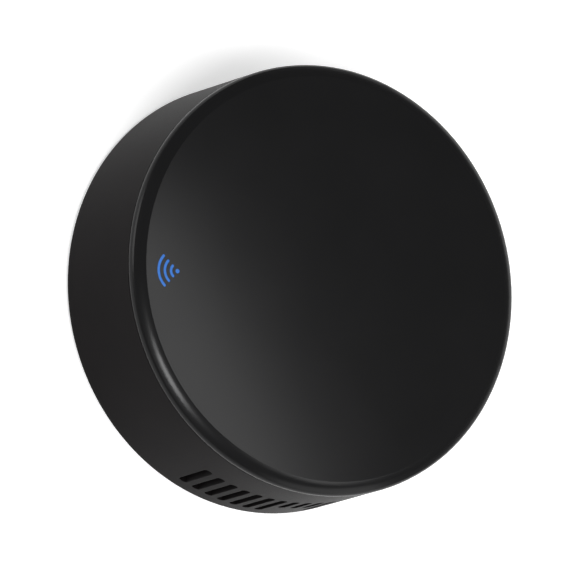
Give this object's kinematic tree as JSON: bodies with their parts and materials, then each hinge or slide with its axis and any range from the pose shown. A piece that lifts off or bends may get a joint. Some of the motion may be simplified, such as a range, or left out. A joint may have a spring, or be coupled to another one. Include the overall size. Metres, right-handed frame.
{
  "type": "smart infrared blaster",
  "caption": "Round table-top puck that sends and learns infrared remote codes, with a side-vented air sensor, rear power inlet and reset button.",
  "frame": {"origin": "middle of the underside of the foot ring, on the puck's axis", "axes": "+Z out of the face, +X towards the power inlet, -X towards the signal mark, -Y towards the vents"},
  "size_m": [0.068, 0.068, 0.023],
  "materials": {
    "front_gloss": "polished black plastic that infrared passes through",
    "shell_satin": "satin black moulded plastic",
    "soft_rubber": "matt dark silicone",
    "screw_steel": "zinc plated",
    "board_laminate": "dark solder mask",
    "mark_blue": "clear moulding lit blue",
    "cream_plastic": "moulded, matt",
    "chip_black": "moulded epoxy",
    "sheet_steel": "tinned sheet",
    "contact_gold": "gold plated",
    "emitter_lens": "tinted clear epoxy",
    "tinned_lead": "tinned",
    "can_aluminium": "drawn can"
  },
  "bodies": {
    "housing": {"front_cover": "front_gloss", "body_shell": "shell_satin", "base_cover": "shell_satin", "foot_ring": "soft_rubber", "base_screws": "screw_steel", "board_screws": "screw_steel", "main_board": "board_laminate", "light_guide": "mark_blue", "status_led": "cream_plastic", "button_switch": "chip_black", "usb_shell": "sheet_steel", "usb_tongue": "chip_black", "usb_contacts": "contact_gold", "ir_emitter_1": "emitter_lens", "ir_emitter_2": "emitter_lens", "ir_emitter_3": "emitter_lens", "ir_emitter_4": "emitter_lens", "ir_emitter_5": "emitter_lens", "ir_emitter_6": "emitter_lens", "ir_emitter_7": "emitter_lens", "ir_emitter_8": "emitter_lens", "emitter_leads": "tinned_lead", "ir_receiver": "chip_black", "receiver_leads": "tinned_lead", "wifi_board": "board_laminate", "wifi_shield": "sheet_steel", "wifi_antenna": "contact_gold", "humidity_sensor": "chip_black", "bulk_capacitor": "can_aluminium", "capacitor_base": "chip_black", "voltage_regulator": "chip_black", "driver_transistors": "chip_black", "chip_resistors": "chip_black", "chip_legs": "tinned_lead"},
    "button": {"reset_button": "shell_satin", "switch_plunger": "cream_plastic"}
  },
  "joints": [
    {"name": "reset_press", "type": "slide", "parent": "housing", "child": "button", "axis": [-0.9589, -0.2836, 0], "range_m": [0, 0.0003], "stiffness_N_per_m": 1500, "springref_m": -0.0005}
  ]
}
